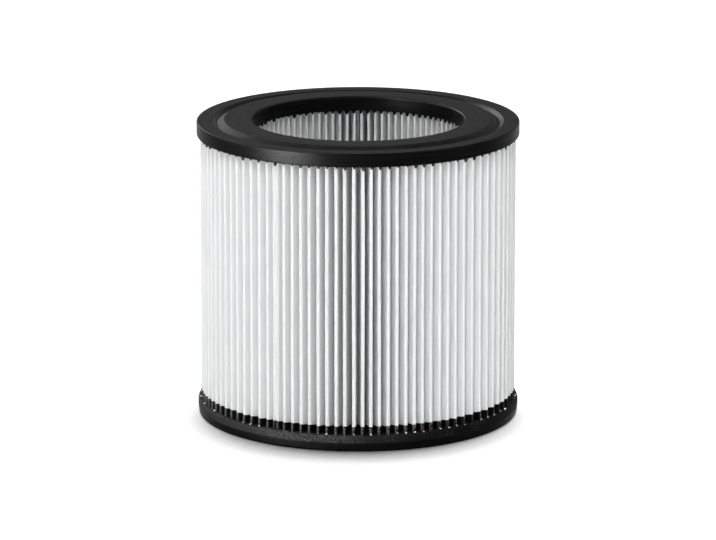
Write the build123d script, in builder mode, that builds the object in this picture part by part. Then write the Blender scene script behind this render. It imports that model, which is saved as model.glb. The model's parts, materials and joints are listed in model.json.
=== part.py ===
"""Pleated cartridge filter for a household vacuum cleaner.

A folded sheet of white nonwoven stands between two cast polyurethane rings. The filter's axis is Z, and it stands on
its lower ring at Z = 0. All sizes are in millimetres.
"""

import os
from math import cos, pi, sin

from build123d import *

# Overall sizes
filter_height = 128.0
cap_diameter = 137.0
bore_diameter = 90.0

# Folded sheet
pleat_count = 98
sheet_thickness = 0.5
fold_opening = 0.45  # clear width inside each outer fold

# Polyurethane left round the potted ends of the sheet
outer_cover = 1.5  # outside the pleats
inner_cover = 1.5  # between the pleats and the bore
end_cover = 3.0  # beyond the ends of the sheet

# Top cap: a sealing face of two lands with a shallow groove between them
top_cap_height = 6.5
outer_land_width = 6.5
outer_land_drop = 0.6  # below the inner land
outer_slope_width = 2.0
inner_slope_width = 3.4
groove_depth = 1.5  # below the outer land
top_edge_chamfer = 0.6
bore_edge_chamfer = 0.8

# Bottom cap: a plain rim with its edges taken off
bottom_cap_height = 6.5
ledge_width = 0.7  # flat left round the pleats, inside the rim's upper chamfer
foot_edge_chamfer = 1.0

cap_radius = cap_diameter / 2
bore_radius = bore_diameter / 2
pleat_outer_radius = cap_radius - outer_cover
pleat_inner_radius = bore_radius + inner_cover
half_pitch = pi / pleat_count
outer_fold_width = fold_opening + 2 * sheet_thickness
inner_fold_width = 2 * sheet_thickness

top_cap_underside = filter_height - top_cap_height
sheet_base = end_cover
sheet_top = filter_height - end_cover


def fold_point(radius, angle, sideways=0.0):
    """A point on a fold's centre line, moved sideways across the fold."""
    return (radius * cos(angle) - sideways * sin(angle), radius * sin(angle) + sideways * cos(angle))


def dusty_side():
    """The sheet's outer surface: a flat outer fold, then a sharp crease at the bottom of each gap."""
    points = []
    for pleat in range(pleat_count):
        tip = 2 * half_pitch * pleat
        crease = tip + half_pitch
        points.append(fold_point(pleat_outer_radius, tip, -outer_fold_width / 2))
        points.append(fold_point(pleat_outer_radius, tip, outer_fold_width / 2))
        points.append(fold_point(pleat_inner_radius + sheet_thickness, crease))
    return points


def clean_side():
    """The sheet's inner surface, one thickness inside the outer one."""
    points = []
    for pleat in range(pleat_count):
        tip = 2 * half_pitch * pleat
        crease = tip + half_pitch
        points.append(fold_point(pleat_outer_radius - sheet_thickness, tip, -fold_opening / 2))
        points.append(fold_point(pleat_outer_radius - sheet_thickness, tip, fold_opening / 2))
        points.append(fold_point(pleat_inner_radius, crease, -inner_fold_width / 2))
        points.append(fold_point(pleat_inner_radius, crease, inner_fold_width / 2))
    return points


# Section of the folded sheet, closed into a ring
with BuildSketch() as sheet_section:
    with BuildLine():
        Polyline(*dusty_side(), close=True)
    make_face()
    with BuildLine():
        Polyline(*clean_side(), close=True)
    make_face(mode=Mode.SUBTRACT)

# Pleated sheet, as long as the gap between the caps and what each cap holds
with BuildPart() as pleated_sheet:
    with BuildSketch(Plane.XY.offset(sheet_base)):
        add(sheet_section.sketch)
    extrude(amount=sheet_top - sheet_base)

# Top cap, cast round the upper ends of the pleats
with BuildPart() as top_end_cap:
    outer_land = filter_height - outer_land_drop
    groove_outer_edge = cap_radius - outer_land_width
    groove_bottom = groove_outer_edge - outer_slope_width
    groove_inner_edge = groove_bottom - inner_slope_width
    with BuildSketch(Plane.XZ) as top_profile:
        with BuildLine():
            Polyline(
                (bore_radius, top_cap_underside),
                (bore_radius, filter_height),
                (groove_inner_edge, filter_height),
                (groove_bottom, outer_land - groove_depth),
                (groove_outer_edge, outer_land),
                (cap_radius, outer_land),
                (cap_radius, top_cap_underside),
                close=True,
            )
        make_face()
        outer_corner = top_profile.vertices().group_by(Axis.X)[-1].sort_by(Axis.Y)[-1]
        chamfer(outer_corner, length=top_edge_chamfer)
        bore_corner = top_profile.vertices().group_by(Axis.X)[0].sort_by(Axis.Y)[-1]
        chamfer(bore_corner, length=bore_edge_chamfer)
    revolve(axis=Axis.Z)
    with BuildSketch(Plane.XY.offset(top_cap_underside)):
        add(sheet_section.sketch)
    extrude(amount=sheet_top - top_cap_underside, mode=Mode.SUBTRACT)

# Bottom cap, cast round the lower ends of the pleats
with BuildPart() as bottom_end_cap:
    with BuildSketch(Plane.XZ) as bottom_profile:
        with BuildLine():
            Polyline(
                (bore_radius, 0),
                (bore_radius, bottom_cap_height),
                (cap_radius, bottom_cap_height),
                (cap_radius, 0),
                close=True,
            )
        make_face()
        foot_corner = bottom_profile.vertices().group_by(Axis.Y)[0].sort_by(Axis.X)[-1]
        chamfer(foot_corner, length=foot_edge_chamfer)
        ledge_corner = bottom_profile.vertices().group_by(Axis.Y)[-1].sort_by(Axis.X)[-1]
        chamfer(ledge_corner, length=outer_cover - ledge_width)
    revolve(axis=Axis.Z)
    with BuildSketch(Plane.XY.offset(bottom_cap_height)):
        add(sheet_section.sketch)
    extrude(amount=sheet_base - bottom_cap_height, mode=Mode.SUBTRACT)

os.makedirs("parts", exist_ok=True)

pleated_sheet.part.label = "pleated_sheet"
export_step(pleated_sheet.part, "parts/pleated_sheet.step")

top_end_cap.part.label = "top_end_cap"
export_step(top_end_cap.part, "parts/top_end_cap.step")

bottom_end_cap.part.label = "bottom_end_cap"
export_step(bottom_end_cap.part, "parts/bottom_end_cap.step")
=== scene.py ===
import json
from math import cos, exp, pi, radians, sin
from random import Random

import bmesh
import bpy
from mathutils import Matrix, Vector, noise


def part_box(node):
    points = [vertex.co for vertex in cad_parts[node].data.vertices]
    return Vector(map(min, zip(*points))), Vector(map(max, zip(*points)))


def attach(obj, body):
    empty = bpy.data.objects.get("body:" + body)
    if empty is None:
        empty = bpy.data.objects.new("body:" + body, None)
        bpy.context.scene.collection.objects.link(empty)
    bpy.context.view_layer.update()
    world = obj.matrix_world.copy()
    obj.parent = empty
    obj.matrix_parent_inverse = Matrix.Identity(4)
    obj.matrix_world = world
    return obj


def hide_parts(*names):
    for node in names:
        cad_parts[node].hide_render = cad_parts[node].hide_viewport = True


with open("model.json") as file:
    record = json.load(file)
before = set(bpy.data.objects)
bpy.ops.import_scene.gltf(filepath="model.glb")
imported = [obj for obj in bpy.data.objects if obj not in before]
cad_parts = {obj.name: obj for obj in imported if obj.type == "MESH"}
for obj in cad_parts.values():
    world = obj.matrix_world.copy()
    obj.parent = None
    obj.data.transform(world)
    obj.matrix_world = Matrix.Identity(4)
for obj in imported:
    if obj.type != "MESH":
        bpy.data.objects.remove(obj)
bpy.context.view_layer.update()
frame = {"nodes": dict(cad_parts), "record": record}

# Pleated sheet
# One length of white spun-bonded polyester, scored and folded by machine into deep pleats, then lapped and
# glued into a ring at one outer fold. Its ends are potted in the cast rings, which alone hold it upright.
MM = 0.001
sheet_low, sheet_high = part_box("pleated_sheet")
lower_ring_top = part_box("bottom_end_cap")[1].z
upper_ring_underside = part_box("top_end_cap")[0].z
outer_radius = sheet_high.x
inner_radius = min(v.co.xy.length for v in frame["nodes"]["pleated_sheet"].data.vertices)
pleat_count = 98
sheet_thickness = 0.5 * MM
outer_fold_width = 1.45 * MM
inner_fold_width = 1.0 * MM
outer_fold_rounding = 0.32 * MM
inner_fold_rounding = 0.22 * MM
sheet_rows = 20
lap_angle = radians(-32)
lap_width = 2.8 * MM
lap_groove = 1.8 * MM


def pleat_angles():
    """Angle of each outer fold: crowded at the front, slack on the right and each a little uneven."""
    crowding = 0.17
    crowded_at = 4  # degrees from the front, to the right
    crowded_reach = 38
    slackness = 0.22
    slack_at = 60
    slack_reach = 14
    unevenness = 0.05
    draw = Random(11)
    pitches = []
    for pleat in range(pleat_count):
        angle = 360 * (pleat + 0.5) / pleat_count - 180
        crowded = crowding * exp(-(((angle - crowded_at) / crowded_reach) ** 2))
        slack = slackness * exp(-(((angle - slack_at) / slack_reach) ** 2))
        pitches.append((1 - crowded + slack) * draw.uniform(1 - unevenness, 1 + unevenness))
    angles = [-pi]
    for pitch in pitches:
        angles.append(angles[-1] + 2 * pi * pitch / sum(pitches))
    return angles


def fold_point(radius, angle, sideways, height):
    """A point on a fold, by the fold's angle from the front (-Y) and the distance sideways across it."""
    x = radius * sin(angle) + sideways * cos(angle)
    y = sideways * sin(angle) - radius * cos(angle)
    return (x, y, height)


def draw_pleats(bm, height, rounding):
    """Draws the sheet's mid-line at a height: a ring of edges, with its outer folds rounded as given."""
    outer = outer_radius - sheet_thickness / 2
    inner = inner_radius + sheet_thickness / 2
    outer_half = (outer_fold_width - sheet_thickness) / 2
    inner_half = (inner_fold_width - sheet_thickness) / 2
    angles = pleat_angles()
    lapped = min(angles, key=lambda angle: abs(angle - lap_angle))
    outer_corners = []
    inner_corners = []
    line = []
    for angle, following in zip(angles, angles[1:]):
        half = (lap_width - sheet_thickness) / 2 if angle == lapped else outer_half
        outer_pair = [bm.verts.new(fold_point(outer, angle, side * half, height)) for side in (-1, 1)]
        crease = (angle + following) / 2
        inner_pair = [bm.verts.new(fold_point(inner, crease, side * inner_half, height)) for side in (-1, 1)]
        outer_corners += outer_pair
        inner_corners += inner_pair
        line.append(outer_pair[0])
        if angle == lapped:
            line.append(bm.verts.new(fold_point(outer - lap_groove, angle, 0, height)))
        line += [outer_pair[1]] + inner_pair
    for start, end in zip(line, line[1:] + line[:1]):
        bm.edges.new((start, end))
    bmesh.ops.bevel(bm, geom=outer_corners, offset=rounding, offset_type="OFFSET", segments=4,
                    profile=0.5, affect="VERTICES", material=-1)
    bmesh.ops.bevel(bm, geom=inner_corners, offset=inner_fold_rounding, offset_type="OFFSET", segments=2,
                    profile=0.5, affect="VERTICES", material=-1)
    flank = 0.5 * (outer - inner)
    flanks = [edge for edge in bm.edges if edge.calc_length() > flank]
    bmesh.ops.subdivide_edges(bm, edges=flanks, cuts=3)


def raise_pleats(bm, heights):
    """Extrudes the drawn ring through the heights."""
    edges = bm.edges[:]
    for height in heights:
        raised = bmesh.ops.extrude_edge_only(bm, edges=edges)["geom"]
        row = [part for part in raised if isinstance(part, bmesh.types.BMVert)]
        edges = [part for part in raised if isinstance(part, bmesh.types.BMEdge)]
        for vert in row:
            vert.co.z = height


def lean_pleats(bm):
    """Bends the free height of each pleat a little sideways, because nothing holds it between the rings."""
    lean = 0.25 * MM
    pleat_scale = 6 * MM
    height_scale = 90 * MM
    held = 25 * MM
    for vert in bm.verts:
        free = min(vert.co.z - lower_ring_top, upper_ring_underside - vert.co.z) / held
        free = min(max(free, 0), 1)
        place = Vector((vert.co.x / pleat_scale, vert.co.y / pleat_scale, vert.co.z / height_scale))
        across = Vector((-vert.co.y, vert.co.x, 0)).normalized()
        vert.co += across * noise.noise(place) * lean * free


def finish_piece(bm, name, material):
    """Makes a smooth-shaded object of a bmesh."""
    mesh = bpy.data.meshes.new(name)
    bmesh.ops.recalc_face_normals(bm, faces=bm.faces)
    bm.to_mesh(mesh)
    bm.free()
    mesh.shade_smooth()
    mesh.materials.append(material)
    piece = bpy.data.objects.new(name, mesh)
    bpy.context.scene.collection.objects.link(piece)
    return piece


def thicken(piece, thickness):
    """Gives a wall its thickness, half to each side, and keeps its flat faces flat in the shading."""
    wall = piece.modifiers.new("Thickness", "SOLIDIFY")
    wall.thickness = thickness
    wall.offset = 0
    wall.use_even_offset = True
    piece.modifiers.new("Flat flanks", "WEIGHTED_NORMAL").keep_sharp = True


def linear(hex_colour):
    """An sRGB hex colour as linear RGBA."""
    channels = [int(hex_colour[place:place + 2], 16) / 255 for place in (1, 3, 5)]
    return [c / 12.92 if c <= 0.04045 else ((c + 0.055) / 1.055) ** 2.4 for c in channels] + [1]


def add_node(owner, kind, inputs, **settings):
    """Adds a shader node. Each input is a value, or another node's output to link from."""
    node = owner.node_tree.nodes.new(kind)
    for name, value in settings.items():
        setattr(node, name, value)
    for name, value in inputs.items():
        if isinstance(value, bpy.types.NodeSocket):
            owner.node_tree.links.new(value, node.inputs[name])
        else:
            node.inputs[name].default_value = value
    return node


def new_material(name):
    """An empty node material."""
    material = bpy.data.materials.new(name)
    material.use_nodes = True
    material.node_tree.nodes.clear()
    return material


def polyester_nonwoven():
    """Spun-bonded polyester: matt white fibres, seen as a faint cloudiness and a soft fibrous grain."""
    white = linear("#f4f6f6")
    thin_white = linear("#eceeee")
    cloud_size = 9 * MM
    fibre_size = 0.5 * MM  # real fibres are some 0.02 mm; drawn as clumps coarse enough to show
    fibre_relief = 0.02 * MM
    light_reach = 0.6 * MM  # about the sheet's thickness, so light shows through it
    material = new_material("polyester nonwoven")
    place = add_node(material, "ShaderNodeTexCoord", {}).outputs["Object"]
    cloud = add_node(material, "ShaderNodeTexNoise", {"Vector": place, "Scale": 1 / cloud_size, "Detail": 3})
    colour = add_node(material, "ShaderNodeMix", {"Factor": cloud.outputs["Fac"], 6: white, 7: thin_white},
                      data_type="RGBA")
    fibres = add_node(material, "ShaderNodeTexNoise", {"Vector": place, "Scale": 1 / fibre_size, "Detail": 4,
                                                       "Distortion": 0.6})
    relief = add_node(material, "ShaderNodeBump", {"Height": fibres.outputs["Fac"], "Distance": fibre_relief,
                                                   "Strength": 0.4})
    surface = add_node(material, "ShaderNodeBsdfPrincipled", {
        "Base Color": colour.outputs[2], "Roughness": 0.95, "Specular IOR Level": 0.0,
        "Subsurface Weight": 1.0, "Subsurface Radius": (1, 1, 1), "Subsurface Scale": light_reach,
        "Normal": relief.outputs["Normal"]})
    add_node(material, "ShaderNodeOutputMaterial", {"Surface": surface.outputs["BSDF"]})
    return material


sheet_bm = bmesh.new()
draw_pleats(sheet_bm, sheet_low.z, outer_fold_rounding)
sheet_height = sheet_high.z - sheet_low.z
raise_pleats(sheet_bm, [sheet_low.z + sheet_height * (row + 1) / sheet_rows for row in range(sheet_rows)])
lean_pleats(sheet_bm)
nonwoven = polyester_nonwoven()
sheet = finish_piece(sheet_bm, "folded_sheet", nonwoven)
thicken(sheet, sheet_thickness)
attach(sheet, "root")
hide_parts("pleated_sheet")

# Polyurethane on the pleats
# The pleats are stood in liquid polyurethane to cast each ring, and it climbs the sheet before it sets. Above
# the lower ring it leaves a black band, highest on the outer folds and grey along their crests, partly where
# it is thin on them and partly as a painted highlight line, and under the upper ring a drop on each fold.
coat_thickness = 0.85 * MM
coat_nose = 0.45 * MM
coat_root = 1 * MM
coat_rows = 3
coat_row_height = 0.65 * MM
band_height = 4.1 * MM
band_depth = 20 * MM
band_unevenness = 0.35 * MM
band_patch = 3.5 * MM
drop_size = Vector((1.7, 1.2, 3.2)) * MM
drop_least = 0.5
drop_most = 1.15
drop_sideways = 0.3 * MM


def polyurethane_on_cloth():
    """Polyurethane soaked into the sheet: black, softly glossy, grey on fold crests (thin coat and painted
    highlight).
    """
    black = linear("#0a0a0b")
    grey = linear("#6a6a6a")
    patch_size = 0.9 * MM
    lump_size = 0.8 * MM
    lump_relief = 0.06 * MM
    thin_and_highlight_from = outer_radius + 0.1 * MM
    thin_and_highlight_to = outer_radius + 0.17 * MM
    material = new_material("polyurethane set on cloth")
    place = add_node(material, "ShaderNodeTexCoord", {}).outputs["Object"]
    flat = add_node(material, "ShaderNodeVectorMath", {0: place, 1: (1, 1, 0)}, operation="MULTIPLY")
    radius = add_node(material, "ShaderNodeVectorMath", {0: flat.outputs["Vector"]}, operation="LENGTH")
    # Grey on the crest of each outer fold: partly where the coat is thin, partly a painted highlight line.
    thin_and_highlight = add_node(material, "ShaderNodeMapRange", {
        "Value": radius.outputs["Value"], "From Min": thin_and_highlight_from, "From Max": thin_and_highlight_to})
    patch = add_node(material, "ShaderNodeTexNoise", {"Vector": place, "Scale": 1 / patch_size, "Detail": 3})
    broken = add_node(material, "ShaderNodeMapRange", {"Value": patch.outputs["Fac"], "From Min": 0.4,
                                                       "From Max": 0.65})
    bare_and_highlight = add_node(material, "ShaderNodeMath", {0: thin_and_highlight.outputs["Result"], 1: broken.outputs["Result"]},
                    operation="MULTIPLY")
    colour = add_node(material, "ShaderNodeMix", {"Factor": bare_and_highlight.outputs["Value"], 6: black, 7: grey},
                      data_type="RGBA")
    lumps = add_node(material, "ShaderNodeTexNoise", {"Vector": place, "Scale": 1 / lump_size, "Detail": 3})
    relief = add_node(material, "ShaderNodeBump", {"Height": lumps.outputs["Fac"], "Distance": lump_relief})
    surface = add_node(material, "ShaderNodeBsdfPrincipled", {
        "Base Color": colour.outputs[2], "Roughness": 0.5, "Specular IOR Level": 0.03,
        "Normal": relief.outputs["Normal"]})
    add_node(material, "ShaderNodeOutputMaterial", {"Surface": surface.outputs["BSDF"]})
    return material


def climb_pleats(bm, root):
    """Coats the pleats with a level band, rooted in the lower ring, then stretches it up the folds."""
    draw_pleats(bm, root, coat_nose)
    raise_pleats(bm, [root + coat_row_height * (row + 1) for row in range(coat_rows)])
    for vert in bm.verts:
        share = (vert.co.z - root) / (coat_rows * coat_row_height)
        depth = outer_radius - vert.co.xy.length
        climb = band_height * max(1 - depth / band_depth, 0)
        climb += band_unevenness * noise.noise(vert.co / band_patch)
        vert.co.z = root + share * (lower_ring_top + climb - root)
    lean_pleats(bm)


def run_drops(bm):
    """Sets a drop on each fold, outside and inside, with its upper half in the upper ring."""
    draw = Random(5)
    angles = pleat_angles()
    for angle, following in zip(angles, angles[1:]):
        for radius, fold in ((outer_radius, angle), (inner_radius, (angle + following) / 2)):
            size = drop_size * draw.uniform(drop_least, drop_most)
            place = Matrix.Translation(fold_point(radius, fold, drop_sideways, upper_ring_underside))
            turn = Matrix.Rotation(fold, 4, "Z")
            bmesh.ops.create_icosphere(bm, subdivisions=2, radius=0.5,
                                       matrix=place @ turn @ Matrix.Diagonal(size.to_4d()))


on_cloth = polyurethane_on_cloth()
band_bm = bmesh.new()
climb_pleats(band_bm, lower_ring_top - coat_root)
band = finish_piece(band_bm, "wetted_band", on_cloth)
thicken(band, coat_thickness)
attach(band, "root")

drops_bm = bmesh.new()
run_drops(drops_bm)
drops = finish_piece(drops_bm, "fold_drops", on_cloth)
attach(drops, "root")

# Lower ring
# Black polyurethane cast round the lower ends of the pleats in an open mould. Its foot and lower side are
# smooth from the mould. Its upper edge, where the foam rose free, is rough and grey-flecked, and has caught
# tufts of the sheet.
ring_steps = 720
ring_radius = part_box("bottom_end_cap")[1].y
round_mounts = [mount for mount in frame["record"]["mounts"] if "r_mm" in mount["dims"]]
bores = {mount["name"]: mount["dims"]["r_mm"] * MM for mount in round_mounts}
foot_draft = 0.5 * MM
foot_rounding = 1.1 * MM
rim_rounding = 0.8 * MM
ledge_rounding = 0.05 * MM
lower_bore_rounding = 0.5 * MM
torn_from = 3.8 * MM
torn_outside = outer_radius - 0.2 * MM
torn_rise = 0.7 * MM
torn_lump = 1.1 * MM
torn_even = 0.7
torn_uneven = 0.5
torn_shrink = 0.002
torn_angle = radians(-19)
torn_reach = 26 * MM
tuft_size = Vector((1.1, 0.6, 0.6)) * MM
tuft_least = 0.5
tuft_most = 1.1
tuft_lump = 0.5 * MM
tuft_raggedness = 0.7
tuft_share = 0.5
tuft_out = 0.4 * MM
tuft_sideways = 0.4 * MM
tuft_lowest = 0.5 * MM
tuft_highest = 1.0 * MM


def spin_ring(corners):
    """Spins a closed profile about Z. Each corner is given as (radius, height, rounding)."""
    bm = bmesh.new()
    verts = [bm.verts.new((radius, 0, height)) for radius, height, rounding in corners]
    for start, end in zip(verts, verts[1:] + verts[:1]):
        bm.edges.new((start, end))
    for vert, (radius, height, rounding) in zip(verts, corners):
        if rounding:
            bmesh.ops.bevel(bm, geom=[vert], offset=rounding, offset_type="OFFSET", segments=4, profile=0.5,
                            affect="VERTICES", material=-1)
    bmesh.ops.spin(bm, geom=bm.verts[:] + bm.edges[:], cent=(0, 0, 0), axis=(0, 0, 1), angle=2 * pi,
                   steps=ring_steps, use_merge=True)
    bmesh.ops.remove_doubles(bm, verts=bm.verts, dist=0.001 * MM)
    return bm


def cast_polyurethane():
    """Cast polyurethane: black, glossy on its sides, matt on its flat faces, which are grey from scuffs and a
    painted sheen.
    """
    black = linear("#070708")
    grey = linear("#181819")
    scuff_and_sheen_grey = linear("#252526")
    streak_width = 0.4 * MM
    streak_length = 20 * MM
    streak_climb = 1.7  # weight of height against radius, so the streaks run round the sides and faces alike
    side_roughness = 0.26
    face_roughness = 0.8
    streak_roughness = 0.2
    grain_size = 1.1 * MM
    grain_relief = 0.04 * MM
    material = new_material("cast polyurethane")
    place = add_node(material, "ShaderNodeTexCoord", {}).outputs["Object"]
    flat = add_node(material, "ShaderNodeVectorMath", {0: place, 1: (1, 1, 0)}, operation="MULTIPLY")
    radius = add_node(material, "ShaderNodeVectorMath", {0: flat.outputs["Vector"]}, operation="LENGTH")
    height = add_node(material, "ShaderNodeSeparateXYZ", {"Vector": place}).outputs["Z"]
    outline = add_node(material, "ShaderNodeMath", {0: height, 1: streak_climb, 2: radius.outputs["Value"]},
                       operation="MULTIPLY_ADD")
    across = add_node(material, "ShaderNodeCombineXYZ", {"Z": outline.outputs["Value"]})
    along = add_node(material, "ShaderNodeVectorMath", {
        0: flat.outputs["Vector"], 1: [streak_width / streak_length] * 3, 2: across.outputs["Vector"]},
        operation="MULTIPLY_ADD")
    streaks = add_node(material, "ShaderNodeTexNoise", {
        "Vector": along.outputs["Vector"], "Scale": 1 / streak_width, "Detail": 3})
    worn = add_node(material, "ShaderNodeMapRange", {"Value": streaks.outputs["Fac"], "From Min": 0.45,
                                                     "From Max": 0.75})
    streaked = add_node(material, "ShaderNodeMix", {"Factor": worn.outputs["Result"], 6: black, 7: grey},
                        data_type="RGBA")
    normal = add_node(material, "ShaderNodeNewGeometry", {}).outputs["Normal"]
    facing = add_node(material, "ShaderNodeSeparateXYZ", {"Vector": normal}).outputs["Z"]
    # Faces that look up are made grey: partly scuffing, partly a painted sheen of the light falling on them.
    flat_top = add_node(material, "ShaderNodeMapRange", {"Value": facing, "From Min": 0.9, "From Max": 0.98})
    scuff_and_sheen = add_node(material, "ShaderNodeMath", {0: streaks.outputs["Fac"], 1: flat_top.outputs["Result"]},
                       operation="MULTIPLY")
    colour = add_node(material, "ShaderNodeMix", {"Factor": scuff_and_sheen.outputs["Value"], 6: streaked.outputs[2],
                                                  7: scuff_and_sheen_grey}, data_type="RGBA")
    gloss = add_node(material, "ShaderNodeMapRange", {"Value": facing, "From Min": 0.8, "From Max": 0.95,
                                                      "To Min": side_roughness, "To Max": face_roughness})
    uneven = add_node(material, "ShaderNodeMath", {
        0: streaks.outputs["Fac"], 1: streak_roughness, 2: gloss.outputs["Result"]}, operation="MULTIPLY_ADD")
    grain = add_node(material, "ShaderNodeTexNoise", {"Vector": place, "Scale": 1 / grain_size, "Detail": 3})
    relief = add_node(material, "ShaderNodeBump", {"Height": grain.outputs["Fac"], "Distance": grain_relief})
    surface = add_node(material, "ShaderNodeBsdfPrincipled", {
        "Base Color": colour.outputs[2], "Roughness": uneven.outputs["Value"], "Specular IOR Level": 0.015,
        "Normal": relief.outputs["Normal"]})
    add_node(material, "ShaderNodeOutputMaterial", {"Surface": surface.outputs["BSDF"]})
    return material


def torn_polyurethane():
    """Polyurethane foam that rose free: matt black and rough, with grey flecks where its skin tore."""
    black = linear("#0c0c0d")
    fleck = linear("#6a6a6a")
    fleck_size = 0.6 * MM
    fleck_relief = 0.12 * MM
    patch_size = 14 * MM
    patch_strength = 0.6
    worst_reach = 0.6 * torn_reach
    material = new_material("torn polyurethane")
    place = add_node(material, "ShaderNodeTexCoord", {}).outputs["Object"]
    flecks = add_node(material, "ShaderNodeTexNoise", {"Vector": place, "Scale": 1 / fleck_size, "Detail": 3,
                                                       "Distortion": 1.2})
    pale = add_node(material, "ShaderNodeMapRange", {"Value": flecks.outputs["Fac"], "From Min": 0.5,
                                                     "From Max": 0.72})
    patch = add_node(material, "ShaderNodeTexNoise", {"Vector": place, "Scale": 1 / patch_size})
    scattered = add_node(material, "ShaderNodeMapRange", {"Value": patch.outputs["Fac"], "From Min": 0.5,
                                                          "From Max": 0.75, "To Max": patch_strength})
    worst = fold_point(ring_radius, torn_angle, 0, lower_ring_top)
    away = add_node(material, "ShaderNodeVectorMath", {0: place, 1: worst}, operation="DISTANCE")
    near = add_node(material, "ShaderNodeMapRange", {"Value": away.outputs["Value"], "From Min": torn_reach,
                                                     "From Max": worst_reach})
    torn = add_node(material, "ShaderNodeMath", {0: scattered.outputs["Result"], 1: near.outputs["Result"]},
                    operation="MAXIMUM")
    share = add_node(material, "ShaderNodeMath", {0: pale.outputs["Result"], 1: torn.outputs["Value"]},
                     operation="MULTIPLY")
    colour = add_node(material, "ShaderNodeMix", {"Factor": share.outputs["Value"], 6: black, 7: fleck},
                      data_type="RGBA")
    relief = add_node(material, "ShaderNodeBump", {"Height": flecks.outputs["Fac"], "Distance": fleck_relief})
    surface = add_node(material, "ShaderNodeBsdfPrincipled", {
        "Base Color": colour.outputs[2], "Roughness": 0.7, "Specular IOR Level": 0.03,
        "Normal": relief.outputs["Normal"]})
    add_node(material, "ShaderNodeOutputMaterial", {"Surface": surface.outputs["BSDF"]})
    return material


def tear_rim(bm):
    """Roughens the ring outside the pleats from torn_from up, and gives those faces the second material."""
    for vert in bm.verts:
        if vert.co.xy.length > torn_outside and vert.co.z > torn_from:
            rise = torn_rise * (vert.co.z - torn_from) / (lower_ring_top - torn_from)
            lump = noise.noise(vert.co / torn_lump)
            vert.co.z += rise * (torn_even + torn_uneven * lump)
            vert.co.xy *= 1 - torn_shrink * (1 + lump)
    for face in bm.faces:
        centre = face.calc_center_median()
        if centre.xy.length > torn_outside and centre.z > torn_from:
            face.material_index = 1


def catch_tufts(bm):
    """Sets a tuft of the sheet's fibres at the foot of about every other outer fold."""
    draw = Random(3)
    for angle in pleat_angles()[:-1]:
        if draw.random() < tuft_share:
            size = tuft_size * draw.uniform(tuft_least, tuft_most)
            sideways = draw.uniform(-tuft_sideways, tuft_sideways)
            height = lower_ring_top + draw.uniform(tuft_lowest, tuft_highest)
            place = Matrix.Translation(fold_point(outer_radius + tuft_out, angle, sideways, height))
            turn = Matrix.Rotation(draw.uniform(0, pi), 4, "Y")
            tuft = bmesh.ops.create_icosphere(bm, subdivisions=2, radius=0.5,
                                              matrix=place @ turn @ Matrix.Diagonal(size.to_4d()))["verts"]
            for vert in tuft:
                ragged = tuft_raggedness * noise.noise(vert.co / tuft_lump)
                vert.co += (vert.co - place.translation) * ragged


polyurethane = cast_polyurethane()
lower_bm = spin_ring([
    (bores["bottom_bore"], 0, lower_bore_rounding),
    (ring_radius - foot_draft, 0, foot_rounding),
    (ring_radius, torn_from, 0),
    (ring_radius, (torn_from + lower_ring_top) / 2, 0),
    (ring_radius, lower_ring_top, rim_rounding),
    (outer_radius, lower_ring_top, ledge_rounding),
    (bores["bottom_bore"], lower_ring_top, lower_bore_rounding),
])
tear_rim(lower_bm)
lower_ring = finish_piece(lower_bm, "lower_ring", polyurethane)
lower_ring.data.materials.append(torn_polyurethane())
lower_ring.modifiers.new("Flat faces", "WEIGHTED_NORMAL").keep_sharp = True
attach(lower_ring, "root")
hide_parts("bottom_end_cap")

tufts_bm = bmesh.new()
catch_tufts(tufts_bm)
tufts = finish_piece(tufts_bm, "fibre_tufts", nonwoven)
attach(tufts, "root")

# Upper ring
# Black polyurethane cast round the upper ends of the pleats. Its face seals against the machine: a wide inner
# land and a narrower, lower outer one, with a groove between them that is steeper on its outer side.
upper_ring_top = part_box("top_end_cap")[1].z
outer_land_drop = 0.6 * MM
outer_land_width = 6.5 * MM
outer_slope_width = 2.0 * MM
inner_slope_width = 3.4 * MM
groove_depth = 1.5 * MM
outer_land = upper_ring_top - outer_land_drop
groove_floor = outer_land - groove_depth
groove_outer_edge = ring_radius - outer_land_width
groove_bottom = groove_outer_edge - outer_slope_width
groove_inner_edge = groove_bottom - inner_slope_width
underside_rounding = 0.5 * MM
outer_edge_rounding = 0.6 * MM
groove_rounding = 0.3 * MM
inner_land_rounding = 0.4 * MM
upper_bore_rounding = 1.0 * MM
upper_bm = spin_ring([
    (bores["top_bore"], upper_ring_underside, underside_rounding),
    (ring_radius, upper_ring_underside, underside_rounding),
    (ring_radius, outer_land, outer_edge_rounding),
    (groove_outer_edge, outer_land, groove_rounding),
    (groove_bottom, groove_floor, groove_rounding),
    (groove_inner_edge, upper_ring_top, inner_land_rounding),
    (bores["top_bore"], upper_ring_top, upper_bore_rounding),
])
upper_ring = finish_piece(upper_bm, "upper_ring", polyurethane)
upper_ring.modifiers.new("Flat faces", "WEIGHTED_NORMAL").keep_sharp = True
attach(upper_ring, "root")
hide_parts("top_end_cap")

# Studio floor
# A wide white sweep under the filter. It takes the filter's soft shadow, and glows for the camera to pure
# white, except close to the foot, where the glow is held back most towards the front: a painted shadow.
floor_size = 4.0
floor_glow = 0.6
painted_shadow_shift = 14 * MM
painted_shadow_fade = 19 * MM


def sees_white(owner):
    """One for the camera, mirrors and glass, which see the white surroundings, and zero for other light."""
    path = add_node(owner, "ShaderNodeLightPath", {})
    mirrored = add_node(owner, "ShaderNodeMath", {
        0: path.outputs["Is Glossy Ray"], 1: path.outputs["Is Transmission Ray"]}, operation="MAXIMUM")
    seen = add_node(owner, "ShaderNodeMath", {
        0: path.outputs["Is Camera Ray"], 1: mirrored.outputs["Value"]}, operation="MAXIMUM")
    return seen.outputs["Value"]


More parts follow.
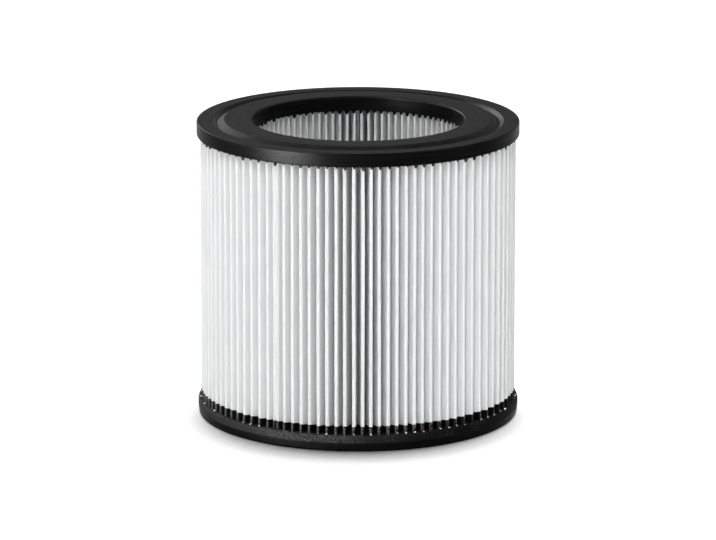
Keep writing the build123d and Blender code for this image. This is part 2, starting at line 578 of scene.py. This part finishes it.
def white_sweep():
    """Matt white paper with a glow for the camera and mirrors that lifts it to white, held back in a painted
    shadow.
    """
    material = new_material("white paper sweep")
    place = add_node(material, "ShaderNodeTexCoord", {}).outputs["Object"]
    # Painted shadow: the glow fades to nothing towards a centre shifted to the front, so the shade leans
    # forward.
    painted_shadow_distance = add_node(material, "ShaderNodeVectorMath", {0: place, 1: (0, -painted_shadow_shift, 0)},
                     operation="DISTANCE")
    painted_shadow_edge = ring_radius - painted_shadow_shift
    open_glow = add_node(material, "ShaderNodeMapRange", {
        "Value": painted_shadow_distance.outputs["Value"], "From Min": painted_shadow_edge, "From Max": painted_shadow_edge + painted_shadow_fade,
        "To Max": floor_glow})
    glow = add_node(material, "ShaderNodeMath", {0: sees_white(material), 1: open_glow.outputs["Result"]},
                    operation="MULTIPLY")
    surface = add_node(material, "ShaderNodeBsdfPrincipled", {
        "Base Color": linear("#f0f0f0"), "Roughness": 1.0, "Specular IOR Level": 0.0,
        "Emission Color": (1, 1, 1, 1), "Emission Strength": glow.outputs["Value"]})
    add_node(material, "ShaderNodeOutputMaterial", {"Surface": surface.outputs["BSDF"]})
    return material


floor_bm = bmesh.new()
bmesh.ops.create_grid(floor_bm, x_segments=1, y_segments=1, size=floor_size)
floor = finish_piece(floor_bm, "studio_floor", white_sweep())

# Studio light
# A soft box overhead casts the shadow on the floor. The boxes at the front, the sides and the back light the
# filter alone, and pale walls give the rest. The glints are lamps that only the gloss of the rings shows.
middle = Vector((0, 0, upper_ring_top / 2))


def soft_box(name, azimuth, elevation, distance, width, height, power):
    """An area lamp that faces the filter, in degrees from the front to the right and up, metres and watts."""
    lamp = bpy.data.lights.new(name, "AREA")
    lamp.shape = "RECTANGLE"
    lamp.size = width
    lamp.size_y = height
    lamp.energy = power
    away = Vector((
        sin(radians(azimuth)) * cos(radians(elevation)),
        -cos(radians(azimuth)) * cos(radians(elevation)),
        sin(radians(elevation))))
    holder = bpy.data.objects.new(name, lamp)
    holder.location = middle + away * distance
    holder.rotation_euler = away.to_track_quat("Z", "Y").to_euler()
    bpy.context.scene.collection.objects.link(holder)
    return holder


soft_box("top box", 170, 76, 1.3, 0.7, 0.7, 12)
off_floor = bpy.data.collections.new("lit by the top box alone")
off_floor.objects.link(floor)
off_floor.collection_objects[0].light_linking.link_state = "EXCLUDE"
for side_box in (
        soft_box("front box", -3, 6, 1.6, 0.4, 0.3, 9.2),
        soft_box("high front box", -3, 50, 1.6, 0.4, 0.4, 7.4),
        soft_box("left box", -68, 50, 1.3, 0.9, 0.9, 5.6),
        soft_box("right box", 75, 55, 1.4, 0.8, 0.8, 2.9),
        soft_box("back left box", -150, 30, 1.6, 0.6, 0.6, 5),
        soft_box("back right box", 150, 30, 1.6, 0.6, 0.6, 5)):
    side_box.light_linking.receiver_collection = off_floor
    side_box.visible_glossy = False
for glint in (
        soft_box("low front glint", -50, 0, 1.3, 0.6, 0.12, 225),
        soft_box("front glint", -50, 8, 1.3, 0.5, 0.15, 75),
        soft_box("left glint", -95, 32, 1.3, 0.9, 0.3, 36),
        soft_box("high glint", -60, 55, 1.3, 0.5, 0.5, 80),
        soft_box("back glint", -150, 24, 1.3, 0.5, 0.4, 12)):
    glint.visible_diffuse = False

world = bpy.data.worlds.new("pale walls")
world.use_nodes = True
world.node_tree.nodes.clear()
walls = add_node(world, "ShaderNodeBackground", {"Color": (1, 1, 1, 1), "Strength": 0.25})
backdrop = add_node(world, "ShaderNodeBackground", {"Color": (1, 1, 1, 1), "Strength": 1.0})
either = add_node(world, "ShaderNodeMixShader", {
    0: sees_white(world), 1: walls.outputs["Background"], 2: backdrop.outputs["Background"]})
add_node(world, "ShaderNodeOutputWorld", {"Surface": either.outputs["Shader"]})
bpy.context.scene.world = world
bpy.context.scene.view_settings.view_transform = "Standard"

# Camera
# A long lens a little over two metres in front of the filter, looking down on it by about fourteen degrees.
# Its place and lens come from a fit to the outlines of the rings.
camera_distance = 2.205
camera_height = 0.5966
camera_pitch = 13.637
camera_data = bpy.data.cameras.new("camera")
camera_data.sensor_width = 36
camera_data.lens = 267.3
camera = bpy.data.objects.new("camera", camera_data)
camera.location = (0, -camera_distance, camera_height)
camera.rotation_euler = (radians(90 - camera_pitch), 0, 0)
bpy.context.scene.collection.objects.link(camera)
bpy.context.scene.camera = camera
